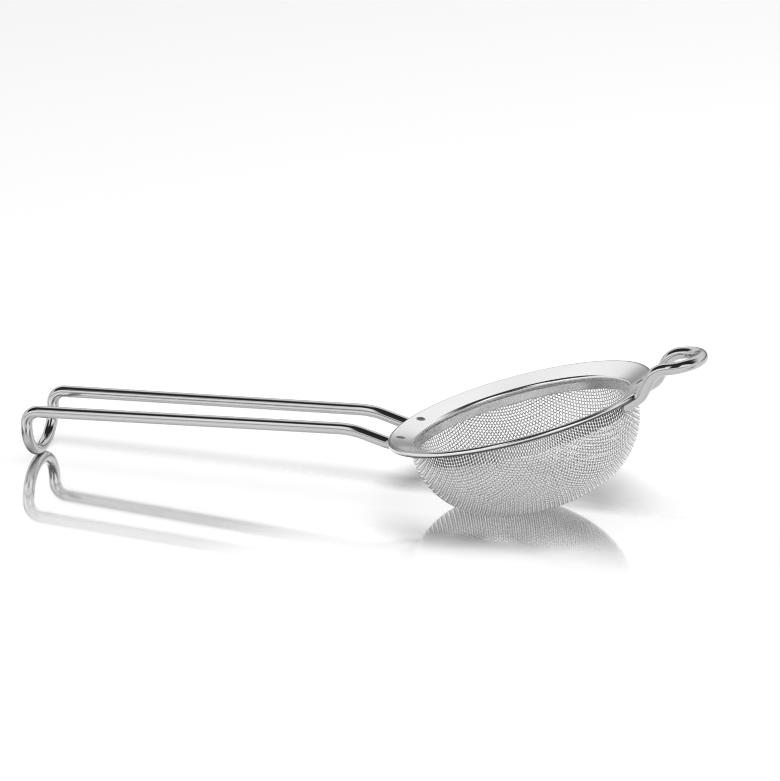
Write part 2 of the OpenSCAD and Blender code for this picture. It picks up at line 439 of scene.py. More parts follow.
@dataclass(frozen=True)
class SpunSheet(SteelFinish):
    """Sheet with fine lines round the rim, hand smudges, a heat mark at each weld, painted shade under the flange, on
    the collar's outside and on the rolled edge's lower half, and a painted dark line along the rolled edge's top in
    place of its reflection.
    """

    ring_scale: float = 9000.0
    drift_scale: float = 60.0
    smudge_scale: float = 90.0
    heat_reach: Pair = (1.3 * MM, 2.1 * MM)
    heat_wobble: float = 0.5 * MM
    heat_wobble_scale: float = 900.0
    # Depths are below the flange's top face, and radii are from the outside of the collar or the rim.
    # The painted shade falls under the flange, on the collar's outside and on the rolled edge's lower half, and a
    # painted dark line on the edge's top stands in for its dark reflection.
    under_shade_depth: Pair = (0.25 * MM, 0.45 * MM)
    roll_shade_depth: Pair = (1.35 * MM, 1.8 * MM)
    edge_depth: Pair = (0.5 * MM, 0.9 * MM)
    collar_face: Pair = (-0.2 * MM, -0.05 * MM)
    collar_root: Pair = (0.2 * MM, 0.6 * MM)
    collar_shade_share: float = 0.55
    bead_start: Pair = (-2.2 * MM, -1.9 * MM)
    edge_start: Pair = (-1.5 * MM, -0.9 * MM)
    edge_end: Pair = (-0.4 * MM, -0.2 * MM)
    edge_shade_share: float = 0.6

    def heat_marks(self, ground: Ground, flat: bpy.types.NodeSocket) -> bpy.types.NodeSocket:
        """Draws a dark mark with a ragged edge round each weld.

        Args:
            ground: What the marks are drawn on.
            flat: The place in the rim's plane, with every weld on the same side of its middle.

        Returns:
            The marks' strength.
        """
        sketch = ground.sketch
        rag = sketch.math("MULTIPLY", sketch.noise(ground.own, self.heat_wobble_scale, 2), self.heat_wobble)
        marks = []
        for x, y in ground.plan.weld_rows:
            away = sketch.vector_math("DISTANCE", flat, (x, y, 0)).outputs["Value"]
            marks.append(sketch.eased(sketch.math("ADD", away, rag), self.heat_reach, FALLING))
        return sketch.joined("MAXIMUM", *marks)

    def pattern(self, ground: Ground) -> Pattern:
        """Draws the marks and the painted shade by their radius and their depth under the flange's top face.

        Args:
            ground: What the pattern is drawn on.

        Returns:
            The pattern.
        """
        sketch, own, plan, pose = ground.sketch, ground.own, ground.plan, ground.pose
        moved = sketch.vector_math("SUBTRACT", own, (pose.centre_x, 0, pose.lift)).outputs[0]
        x, y, z = sketch.split(sketch.stretched(moved, (1, 1, 1), (0, pose.tilt, 0)))
        flat = sketch.node("ShaderNodeCombineXYZ", {0: x, 1: sketch.math("ABSOLUTE", y)}).outputs[0]
        radius = sketch.vector_math("LENGTH", flat).outputs["Value"]
        rings = sketch.node("ShaderNodeCombineXYZ", {0: sketch.math("MULTIPLY", radius, self.ring_scale)}).outputs[0]
        drift = sketch.stretched(own, (self.drift_scale,) * 3)
        fine = sketch.noise(sketch.vector_math("ADD", rings, drift).outputs[0], 1.0, 4)
        gloss = sketch.mean(fine, sketch.noise(own, self.smudge_scale, 4))
        top = sketch.math("MULTIPLY_ADD", radius, math.tan(plan.flange_slope), plan.flange_top(0))
        depth = sketch.math("SUBTRACT", top, z)
        # Painted shade starts at the collar's outer face, which sits in the flange's shade behind the cloth, and grows
        # further out.
        outside = sketch.joined("MULTIPLY", sketch.eased(radius, self.collar_face, base=plan.collar_out),
                                sketch.eased(radius, self.collar_root, (self.collar_shade_share, 1), plan.collar_out))
        # Painted shade under the flange.
        under = sketch.joined("MULTIPLY", outside, sketch.eased(depth, self.under_shade_depth),
                              sketch.eased(radius, self.bead_start, FALLING, plan.rim_r))
        # Painted shade on the rolled edge's lower half.
        roll = sketch.math("MULTIPLY", outside, sketch.eased(depth, self.roll_shade_depth))
        # A painted dark line on the rolled edge's top, in place of the edge's dark reflection.
        edge = sketch.joined("MULTIPLY", sketch.eased(radius, self.edge_start, (0, self.edge_shade_share), plan.rim_r),
                             sketch.eased(radius, self.edge_end, FALLING, plan.rim_r),
                             sketch.eased(depth, self.edge_depth, FALLING))
        # The heat marks, and the painted shade under the flange, on the collar's outside and on the rolled edge, all
        # in one.
        stain_and_painted_shade = sketch.joined("MAXIMUM", self.heat_marks(ground, flat), under, edge, roll)
        return Pattern(stain_and_painted_shade, gloss, fine)


@dataclass(frozen=True)
class DrawnWire(SteelFinish):
    """Round wire with die lines along it, and worn and dull stretches."""

    line_scale: Triple = (5200, 5200, 45)
    wear_scale: Triple = (300, 300, 60)
    wear_span: Pair = (0.45, 0.8)
    wear_share: float = 0.6

    def pattern(self, ground: Ground) -> Pattern:
        """Draws the lines in the wire's own space, across it and along its run.

        Args:
            ground: What the pattern is drawn on.

        Returns:
            The pattern.
        """
        sketch = ground.sketch
        wire = sketch.node("ShaderNodeAttribute", attribute_name="wire_space").outputs["Vector"]
        lines = sketch.noise(sketch.stretched(wire, self.line_scale), 1.0, 3)
        worn = sketch.noise(sketch.stretched(wire, self.wear_scale), 1.0, 4)
        return Pattern(sketch.eased(worn, self.wear_span, (0, self.wear_share)), sketch.mean(lines, worn), lines)


@dataclass(frozen=True)
class WovenWire(SteelFinish):
    """Fine wire with painted shade where it slants down between its crowns, and uneven in tone from place to place."""

    fine_scale: float = 2600.0
    broad_scale: float = 70.0
    painted_shade_span: Pair = (0.15, 0.85)
    uneven_span: Pair = (0.75, 1.3)
    uneven_share: Pair = (0.85, 1.15)

    def pattern(self, ground: Ground) -> Pattern:
        """Draws the painted shade by how far the wire sways from the cloth's middle, with an uneven tone.

        Args:
            ground: What the pattern is drawn on.

        Returns:
            The pattern.
        """
        sketch = ground.sketch
        fine = sketch.noise(ground.own, self.fine_scale, 2)
        broad = sketch.noise(ground.own, self.broad_scale, 3)
        sway = sketch.node("ShaderNodeAttribute", attribute_name="sway").outputs["Fac"]
        # Painted shade: darker where the wire slants down between its crowns among its neighbours; the uneven part is
        # the wire's own tone.
        painted_slant_shade = sketch.eased(sketch.math("ABSOLUTE", sway), self.painted_shade_span, FALLING)
        uneven = sketch.ranged(sketch.math("ADD", fine, broad), self.uneven_span, self.uneven_share)
        return Pattern(sketch.math("MULTIPLY", painted_slant_shade, uneven), broad, fine)


@dataclass(frozen=True)
class FusedSteel(SteelFinish):
    """The ripples and heat colour of a spot weld."""

    ripple_scale: float = 3500.0
    tint_scale: float = 1200.0
    tint_span: Pair = (0.35, 0.65)

    def pattern(self, ground: Ground) -> Pattern:
        """Draws the ripples and the heat colour.

        Args:
            ground: What the pattern is drawn on.

        Returns:
            The pattern.
        """
        ripple = ground.sketch.noise(ground.own, self.ripple_scale, 3)
        tint = ground.sketch.noise(ground.own, self.tint_scale, 2)
        return Pattern(ground.sketch.eased(tint, self.tint_span), tint, ripple)


@dataclass(frozen=True)
class Finishes:
    """The strainer's finishes."""

    # The sheet's shade colour serves both its heat marks and the painted shade under the flange, on the collar's
    # outside and on the rolled edge.
    sheet: SteelFinish = SpunSheet(
        "polished_sheet_steel", colour=(0.78, 0.78, 0.785), shade=(0.08, 0.075, 0.07),
        roughness=0.20, roughness_swing=0.03, line_depth=0.0005 * MM)
    wire: SteelFinish = DrawnWire(
        "drawn_wire_steel", colour=(0.50, 0.50, 0.505), shade=(0.42, 0.42, 0.42),
        roughness=0.08, roughness_swing=0.03, line_depth=0.0015 * MM)
    # The cloth's shade colour is painted shade on each wire where it slants down between its crowns.
    cloth: SteelFinish = WovenWire(
        "woven_wire_steel", colour=(0.95, 0.95, 0.95), shade=(0.50, 0.50, 0.50),
        roughness=0.24, roughness_swing=0.04, line_depth=0.001 * MM)
    weld: SteelFinish = FusedSteel(
        "spot_weld_steel", colour=(0.36, 0.34, 0.32), shade=(0.24, 0.20, 0.17),
        roughness=0.38, roughness_swing=0.08, line_depth=0.02 * MM)


# ---------------------------------------------------------------- shape tools


def mesh_object(name: str, points: np.ndarray, faces: Sequence[Sequence[int]] = (),
                edges: Sequence[Sequence[int]] = ()) -> bpy.types.Object:
    """Makes a mesh object at the origin, with its place in its mesh.

    Args:
        name: The piece's name.
        points: Its points, in metres.
        faces: Its faces, each a list of point numbers.
        edges: Its loose edges.

    Returns:
        The object, linked to the scene.
    """
    mesh = bpy.data.meshes.new(name)
    mesh.from_pydata(points.tolist(), np.asarray(edges).tolist(), np.asarray(faces).tolist())
    made = bpy.data.objects.new(name, mesh)
    bpy.context.scene.collection.objects.link(made)
    return made


def mark(obj: bpy.types.Object, name: str, values: np.ndarray) -> None:
    """Stores a number or a vector at each point of a mesh.

    Args:
        obj: The object whose mesh is marked.
        name: The attribute's name.
        values: One value or one vector for each point.
    """
    values = np.asarray(values, np.float32)
    kind, key = ("FLOAT_VECTOR", "vector") if values.ndim == 2 else ("FLOAT", "value")
    obj.data.attributes.new(name, kind, "POINT").data.foreach_set(key, values.ravel())


def arc(centre: Pair, radius: float, start: float, end: float, steps: int) -> list[Pair]:
    """Points round an arc, from one angle in degrees to another."""
    angles = np.radians(np.linspace(start, end, steps + 1))
    return [(centre[0] + radius * math.cos(a), centre[1] + radius * math.sin(a)) for a in angles]


class Recipe:
    """A Geometry Nodes tree with named inputs, which makes one mesh from another."""

    def __init__(self, name: str, inputs: dict[str, str]) -> None:
        """Opens a tree.

        Args:
            name: The tree's name.
            inputs: The type of each input's socket, by name, after the geometry.
        """
        self.tree = bpy.data.node_groups.new(name, "GeometryNodeTree")
        self.sketch = Sketch(self.tree)
        face = self.tree.interface
        face.new_socket("Geometry", in_out="INPUT", socket_type="NodeSocketGeometry")
        self.sockets = {key: face.new_socket(key, in_out="INPUT", socket_type=kind).identifier
                        for key, kind in inputs.items()}
        face.new_socket("Geometry", in_out="OUTPUT", socket_type="NodeSocketGeometry")
        self.entry = self.sketch.node("NodeGroupInput").outputs

    def stored(self, name: str, kind: str = "FLOAT") -> bpy.types.NodeSocket:
        """Reads an attribute of the starting mesh."""
        return self.sketch.node("GeometryNodeInputNamedAttribute", {"Name": name}, data_type=kind).outputs[0]

    def store(self, geometry: bpy.types.NodeSocket, name: str, value: bpy.types.NodeSocket) -> bpy.types.NodeSocket:
        """Stores a vector at each point."""
        return self.sketch.node("GeometryNodeStoreNamedAttribute", {0: geometry, "Name": name, "Value": value},
                                data_type="FLOAT_VECTOR", domain="POINT").outputs[0]

    def ring(self, radius: bpy.types.NodeSocket) -> bpy.types.NodeSocket:
        """Makes a wire's round section, with the number of sides that the tree is given."""
        return self.sketch.node("GeometryNodeCurvePrimitiveCircle", {"Resolution": self.entry["Sides"],
                                                                     "Radius": radius}).outputs[0]

    def swept(self, line: bpy.types.NodeSocket, ring: bpy.types.NodeSocket, **more: Any) -> bpy.types.NodeSocket:
        """Sweeps a section along the edges of a mesh, with closed ends."""
        curve = self.sketch.node("GeometryNodeMeshToCurve", {0: line}).outputs[0]
        return self.sketch.node("GeometryNodeCurveToMesh", {"Curve": curve, "Profile Curve": ring,
                                                            "Fill Caps": True, **more}).outputs[0]

    def smooth(self, geometry: bpy.types.NodeSocket, smooth: bool = True, domain: str = "FACE",
               **more: Any) -> bpy.types.NodeSocket:
        """Sets smooth or sharp shading."""
        return self.sketch.node("GeometryNodeSetShadeSmooth", {0: geometry, "Shade Smooth": smooth, **more},
                                domain=domain).outputs[0]

    def close(self, geometry: bpy.types.NodeSocket) -> "Recipe":
        """Ends the tree with real geometry in its finish.

        Args:
            geometry: The last step's geometry.

        Returns:
            The tree.
        """
        real = self.sketch.node("GeometryNodeRealizeInstances", {0: geometry}).outputs[0]
        dressed = self.sketch.node("GeometryNodeSetMaterial", {0: real, "Material": self.entry["Finish"]})
        self.sketch.node("NodeGroupOutput", {0: dressed.outputs[0]})
        return self

    def apply(self, obj: bpy.types.Object, values: dict[str, Any]) -> None:
        """Turns an object's mesh into what the tree makes of it.

        Args:
            obj: The object that holds the starting mesh.
            values: What goes in each named input.
        """
        modifier = obj.modifiers.new(self.tree.name, "NODES")
        modifier.node_group = self.tree
        for name, value in values.items():
            modifier[self.sockets[name]] = value
        graph = bpy.context.evaluated_depsgraph_get()
        made = bpy.data.meshes.new_from_object(obj.evaluated_get(graph), preserve_all_data_layers=True,
                                               depsgraph=graph)
        obj.modifiers.remove(modifier)
        made.name = obj.name
        obj.data = made


def sweep_recipe() -> Recipe:
    """A tree that sweeps a round wire along a line.

    Returns:
        The tree, which reads the point attributes run and girth and writes wire_space.
    """
    recipe = Recipe("round_wire_along_line", {"Wire Radius": "NodeSocketFloat", "Sides": "NodeSocketInt",
                                              "Finish": "NodeSocketMaterial"})
    draw, entry = recipe.sketch, recipe.entry
    place = draw.node("GeometryNodeInputPosition").outputs[0]
    ring = recipe.store(recipe.ring(entry["Wire Radius"]), "across", place)
    tube = recipe.swept(entry["Geometry"], ring, Scale=recipe.stored("girth"))
    x, y, _ = draw.split(recipe.stored("across", "FLOAT_VECTOR"))
    space = draw.node("ShaderNodeCombineXYZ", {0: x, 1: y, 2: recipe.stored("run")}).outputs[0]
    tube = recipe.smooth(recipe.store(tube, "wire_space", space))
    bend = draw.node("GeometryNodeInputMeshEdgeAngle").outputs[0]
    sharp = draw.node("FunctionNodeCompare", {0: bend, 1: SHARP_ANGLE}, operation="GREATER_THAN").outputs[0]
    return recipe.close(recipe.smooth(tube, False, "EDGE", Selection=sharp))


def weave_recipe() -> Recipe:
    """A tree that turns lines on the bowl into fine wires that pass over and under each other.

    Returns:
        The tree, which reads the point attributes sway and outward.
    """
    recipe = Recipe("woven_wires", {"Wire Diameter": "NodeSocketFloat", "Cloth Thickness": "NodeSocketFloat",
                                    "Sides": "NodeSocketInt", "Finish": "NodeSocketMaterial"})
    draw, entry = recipe.sketch, recipe.entry
    spare = draw.math("SUBTRACT", entry["Cloth Thickness"], entry["Wire Diameter"])
    reach = draw.joined("MULTIPLY", spare, 0.5, recipe.stored("sway"))
    offset = draw.node("ShaderNodeVectorMath", {0: recipe.stored("outward", "FLOAT_VECTOR"), "Scale": reach},
                       operation="SCALE").outputs[0]
    moved = draw.node("GeometryNodeSetPosition", {0: entry["Geometry"], "Offset": offset}).outputs[0]
    ring = recipe.ring(draw.math("MULTIPLY", entry["Wire Diameter"], 0.5))
    return recipe.close(recipe.smooth(recipe.swept(moved, ring)))


# ---------------------------------------------------------------- wire forms


class WireRoute:
    """The centreline of a wire, laid out straight by straight and bend by bend."""

    def __init__(self, start: Sequence[float], turn: Matrix) -> None:
        """Starts a wire.

        Args:
            start: Where the wire starts.
            turn: Its heading, as a turn of the X axis, with Z as the side that bends go to.
        """
        self.turn = turn.copy()
        self.points = [Vector(start)]
        self.runs = [0.0]

    def _add(self, point: Vector) -> None:
        """Adds a point, with the wire's length up to it."""
        self.runs.append(self.runs[-1] + (point - self.points[-1]).length)
        self.points.append(point)

    def straight(self, length: float) -> None:
        """Runs straight on.

        Args:
            length: How far.
        """
        start, ahead = self.points[-1], self.turn @ Vector((1, 0, 0))
        steps = max(1, round(length / POINT_SPACING))
        for step in range(1, steps + 1):
            self._add(start + ahead * (length * step / steps))

    def bend(self, radius: float, angle: float) -> None:
        """Bends the wire.

        Args:
            radius: The bend's radius, at the wire's middle.
            angle: How far it turns, positive towards its own Z.
        """
        start, side = self.points[-1], math.copysign(1, angle)
        steps = max(2, round(abs(angle) / BEND_STEP))
        for step in range(1, steps + 1):
            part = abs(angle) * step / steps
            local = Vector((math.sin(part), 0, side * (1 - math.cos(part)))) * radius
            self._add(start + self.turn @ local)
        self.turn = self.turn @ Matrix.Rotation(-angle, 3, "Y")

    def roll(self, angle: float) -> None:
        """Rolls about the wire's own axis, so that the next bend goes another way."""
        self.turn = self.turn @ Matrix.Rotation(angle, 3, "X")

    def follow(self, steps: Sequence[Triple]) -> "WireRoute":
        """Follows a list of steps.

        Args:
            steps: Each a length or a bend's radius, an angle to bend by, and a roll that comes first.

        Returns:
            The route.
        """
        for size, angle, roll in steps:
            self.roll(roll)
            if angle == 0:
                self.straight(size)
            else:
                self.bend(size, angle)
        return self


def looped(steps: list[Triple], side: float, radius: float, roll: float) -> list[Triple]:
    """Two equal legs joined by a bow.

    Args:
        steps: One leg's steps, from its foot.
        side: The length of the bow's straight sides.
        radius: The bow's radius.
        roll: The roll between the leg's bends and the bow.

    Returns:
        The whole wire's steps.
    """
    bow = [(side, 0.0, 0.0), (radius, math.pi, roll), (side, 0.0, -roll)]
    return steps + bow + steps[::-1]


def travel(steps: Sequence[Triple], heading: float) -> Pair:
    """Adds up how far a leg goes.

    Args:
        steps: The leg's steps.
        heading: The angle at which it starts.

    Returns:
        The distance along and the distance up.
    """
    x = z = 0.0
    for size, angle, _ in steps:
        if angle == 0:
            x, z = x + size * math.cos(heading), z + size * math.sin(heading)
        else:
            side = math.copysign(size, angle)
            x += side * (math.sin(heading + angle) - math.sin(heading))
            z += side * (math.cos(heading) - math.cos(heading + angle))
            heading += angle
    return x, z


@dataclass
class WireForm:
    """A part bent from one length of round wire and welded under the flange by its two feet."""

    plan: StrainerPlan
    pose: RestPose
    sides: int = 56
    end_chamfer: float = 0.25 * MM
    end_girth: float = 0.9
    bend_thinning: float = 0.01 * MM

    def route(self) -> WireRoute:
        """The wire's centreline, in the table's frame."""
        raise NotImplementedError

    def build(self, name: str, recipe: Recipe, finish: bpy.types.Material) -> bpy.types.Object:
        """Makes the wire.

        Args:
            name: The piece's name.
            recipe: The tree that sweeps a round wire.
            finish: The wire's material.

        Returns:
            The piece.
        """
        line = self.route()
        knots = np.column_stack([line.points, line.runs])
        first, last = (end + (inner - end) * self.end_chamfer / abs(inner[3] - end[3])
                       for end, inner in ((knots[0], knots[1]), (knots[-1], knots[-2])))
        knots = np.concatenate([knots[:1], [first], knots[1:-1], [last], knots[-1:]])
        points, runs = knots[:, :3], knots[:, 3]
        made = mesh_object(name, points, edges=[(i, i + 1) for i in range(len(points) - 1)])
        girth = np.ones(len(points))
        girth[[0, -1]] = self.end_girth
        mark(made, "run", runs)
        mark(made, "girth", girth)
        recipe.apply(made, {"Wire Radius": self.plan.wire_r - self.bend_thinning, "Sides": self.sides,
                            "Finish": finish})
        return made


@dataclass
class Handle(WireForm):
    """The long handle, whose two wires end in a loop that is turned down to the table."""

    def route(self) -> WireRoute:
        """Lays out the handle, with the grip's fall solved so that the loop stands on the table.

        Returns:
            The centreline.
        """
        plan, y = self.plan, self.plan.handle_root_y
        foot_x = plan.foot_start(y)
        foot = self.pose.place([[-foot_x, y, plan.wire_under(math.hypot(foot_x, y))]])[0]
        heading = plan.foot_angle(y) - plan.rest_tilt
        neck = plan.neck_angle - plan.rest_tilt
        steps = [(plan.foot_len(y), 0.0, 0.0), (plan.neck_bend_r, neck - heading, 0.0), (plan.neck_len, 0.0, 0.0)]
        arm = plan.shoulder_r - plan.end_bend_r
        drop = (plan.loop_side + plan.loop_r + plan.wire_r - foot[2] - travel(steps, heading)[1]
                + plan.shoulder_r * math.cos(neck))
        fall = math.acos(drop / math.hypot(arm, plan.grip_len)) - math.atan2(plan.grip_len, arm)
        steps += [(plan.shoulder_r, -neck - fall, 0.0), (plan.grip_len, 0.0, 0.0),
                  (plan.end_bend_r, fall - math.pi / 2, 0.0)]
        splay = math.asin((plan.loop_r - y) / travel(steps, heading)[0])
        turn = Matrix.Rotation(math.pi - splay, 3, "Z") @ Matrix.Rotation(-heading, 3, "Y")
        whole = looped(steps, plan.loop_side, plan.loop_r, -math.pi / 2 - splay)
        return WireRoute(foot, turn).follow(whole)


@dataclass
class CupHook(WireForm):
    """The short bow of wire that rests on a cup's brim."""

    def route(self) -> WireRoute:
        """Lays out the hook.

        Returns:
            The centreline.
        """
        plan, y = self.plan, self.plan.hook_r
        foot_x = plan.foot_start(y)
        foot = self.pose.place([[foot_x, y, plan.wire_under(math.hypot(foot_x, y))]])[0]
        steps = [(plan.foot_len(y), 0.0, 0.0), (plan.hook_root_r, plan.hook_angle - plan.foot_angle(y), 0.0),
                 (plan.hook_leg, 0.0, 0.0), (plan.hook_top_r, -plan.hook_angle - plan.hook_droop, 0.0)]
        turn = Matrix.Rotation(-self.pose.tilt - plan.foot_angle(y), 3, "Y")
        return WireRoute(foot, turn).follow(looped(steps, plan.hook_side, plan.hook_r, math.pi / 2))


# ---------------------------------------------------------------- the rim


@dataclass
class Rim:
    """The stamped rim: rolled edge, sloping flange, fold and collar, with a dimple at each weld."""

    plan: StrainerPlan
    pose: RestPose
    wires: list[WireRoute]
    turns: int = 340
    fine_turns: int = 48
    fine_reach: float = math.radians(4.2)
    least_turn: float = math.radians(0.03)
    weld_ring_inset: float = 4 * MM
    flange_steps: int = 43
    fold_steps: int = 28
    crease_steps: int = 6
    wall_steps: int = 7
    corner_steps: int = 4
    back_steps: int = 3
    under_steps: int = 17
    bead_steps: int = 52
    groove: float = 0.22 * MM
    groove_depths: Pair = (0.06 * MM, 0.14 * MM)
    groove_turn: float = 12.0
    edge_round: float = 0.14 * MM
    crease_round: float = 0.25 * MM
    fold_face_r: float = 1.2 * MM
    top_reach: float = 0.01 * MM
    foot_points: int = 14

    def outline(self) -> np.ndarray:
        """Draws the rim's section, from the flange's top inwards and round.

        Returns:
            Its points, as radius and height.
        """
        plan = self.plan
        slope = math.degrees(plan.flange_slope)
        bead = (plan.rim_r - plan.bead_r, -plan.bead_r)
        fold, soft = plan.fold_centre, self.fold_face_r
        lip_touch = plan.throat_r + soft * (1 - math.sin(plan.flange_slope))
        lip = (plan.throat_r + soft, plan.flange_top(lip_touch) - soft * math.cos(plan.flange_slope))
        touch = 90 + slope
        radii = np.linspace(plan.bead_touch[0], lip_touch, self.flange_steps + 1)[1:-1]
        points = [(r, plan.flange_top(r)) for r in radii]
        inner = plan.collar_out - plan.sheet_t
        crease = self.crease_round
        dx = inner - crease - lip[0]
        dz = -math.sqrt((soft + crease) ** 2 - dx ** 2)
        meet = math.degrees(math.atan2(dz, dx)) % 360
        points += arc(lip, soft, touch, meet, self.fold_steps)
        points += arc((lip[0] + dx, lip[1] + dz), crease, meet - 180, 0, self.crease_steps)[1:]
        corner = self.edge_round
        low = plan.collar_bottom + corner
        points += [(inner, z) for z in np.linspace(lip[1] + dz, low, self.wall_steps + 1)[1:-1]]
        points += arc((inner + corner, low), corner, 180, 270, self.corner_steps)
        points += arc((plan.collar_out - corner, low), corner, 270, 360, self.corner_steps)
        points += [(plan.collar_out, z) for z in np.linspace(low, fold[1], self.wall_steps + 1)[1:-1]]
        rise = touch - math.degrees(math.acos((plan.fold_r - plan.sheet_t) / plan.fold_r))
        points += arc(fold, plan.fold_r, 0, rise, self.back_steps)
        curl = touch + math.degrees(math.acos((plan.bead_r - plan.sheet_t) / plan.bead_r))
        meet_r = bead[0] + plan.bead_r * math.cos(math.radians(curl))
        under_in = fold[0] + plan.fold_r * math.cos(math.radians(rise))
        under_out = meet_r + self.groove
        points += [(r, plan.flange_under(r)) for r in np.linspace(under_in, under_out, self.under_steps + 1)[1:]]
        points += [(under_out - self.groove * half / 2, plan.flange_under(under_out) - depth)
                   for half, depth in enumerate(self.groove_depths)]
        points += arc(bead, plan.bead_r, curl + self.groove_turn, 360 + touch, self.bead_steps)
        return np.array(points)

    def angles(self) -> np.ndarray:
        """Chooses where the section is placed round the rim: evenly, and closely near each wire.

        Returns:
            The angles, in order.
        """
        even = np.linspace(0, math.tau, self.turns, endpoint=False)
        reach = self.plan.rim_r - self.weld_ring_inset
        middles = [math.atan2(y, math.copysign(reach, x)) for x, y in self.weld_centres()]
        fine = [np.linspace(middle - self.fine_reach, middle + self.fine_reach, self.fine_turns) % math.tau
                for middle in middles]
        merged = np.sort(np.concatenate([even, *fine]))
        return merged[np.diff(merged, append=merged[0] + math.tau) > self.least_turn]

    def dimpled(self, points: np.ndarray) -> np.ndarray:
        """Sinks the flange's top face at each weld.

        Args:
            points: The rim's points, in its own frame.

        Returns:
            The moved points.
        """
        plan = self.plan
        radius = np.hypot(points[:, 0], points[:, 1])
        on_top = np.abs(points[:, 2] - plan.flange_top(radius)) < self.top_reach
        lean, fall = math.sin(plan.flange_slope), math.cos(plan.flange_slope)
        down = np.column_stack([points[:, :2] / radius[:, None] * lean, np.full(len(points), -fall)])
        for x, y in self.weld_centres():
            away = np.hypot(points[:, 0] - x, points[:, 1] - y) / plan.weld_r
            depth = plan.dimple_depth * np.clip(1 - away ** 2, 0, None) * on_top
            points = points + down * depth[:, None]
        return points

    def weld_centres(self) -> list[Pair]:
        """The four welds' places in the rim's plan."""
        return [(x, side * y) for x, y in self.plan.weld_rows for side in (1, -1)]

    def notched(self, points: np.ndarray) -> np.ndarray:
        """Presses the rolled edge clear of the wires that pass under it.

        Args:
            points: The rim's points, in the table's frame.

        Returns:
            The moved points.
        """
        clear = self.plan.wire_r + self.plan.notch_gap
        for wire in self.wires:
            line = np.array([tuple(p) for p in wire.points])
            for part in (line[:self.foot_points], line[-self.foot_points:]):
                near = np.full(len(points), np.inf)
                foot = np.zeros_like(points)
                for a, b in zip(part[:-1], part[1:]):
                    along = b - a
                    t = np.clip(((points - a) @ along) / (along @ along), 0, 1)
                    q = a + t[:, None] * along
                    gap = np.linalg.norm(points - q, axis=1)
                    closer = gap < near
                    near[closer], foot[closer] = gap[closer], q[closer]
                inside = near < clear
                away = (points[inside] - foot[inside]) / near[inside, None]
                points[inside] = foot[inside] + away * clear
        return points

    def build(self, name: str, finish: bpy.types.Material) -> bpy.types.Object:
        """Makes the rim.

        Args:
            name: The piece's name.
            finish: The sheet's material.

        Returns:
            The piece.
        """
        section, angles = self.outline(), self.angles()
        n, m = len(section), len(angles)
        points = np.stack([np.outer(np.cos(angles), section[:, 0]), np.outer(np.sin(angles), section[:, 0]),
                           np.tile(section[:, 1], (m, 1))], axis=2).reshape(-1, 3)
        points = self.notched(self.pose.place(self.dimpled(points)))
        i, j = np.meshgrid(np.arange(m), np.arange(n), indexing="ij")
        corners = [i * n + j, i * n + (j + 1) % n, (i + 1) % m * n + (j + 1) % n, (i + 1) % m * n + j]
        faces = np.stack(corners, axis=2).reshape(-1, 4)
        area = np.sum(section[:, 0] * np.roll(section[:, 1], -1) - np.roll(section[:, 0], -1) * section[:, 1])
        made = mesh_object(name, points, faces if area < 0 else faces[:, ::-1])
        made.data.polygons.foreach_set("use_smooth", np.ones(len(faces), bool))
        made.data.materials.append(finish)
        return made


# ---------------------------------------------------------------- the woven bowl


class Lay(Enum):
    """The direction in which a cloth wire runs."""

    WARP = "along the handle"
    WEFT = "across the handle"


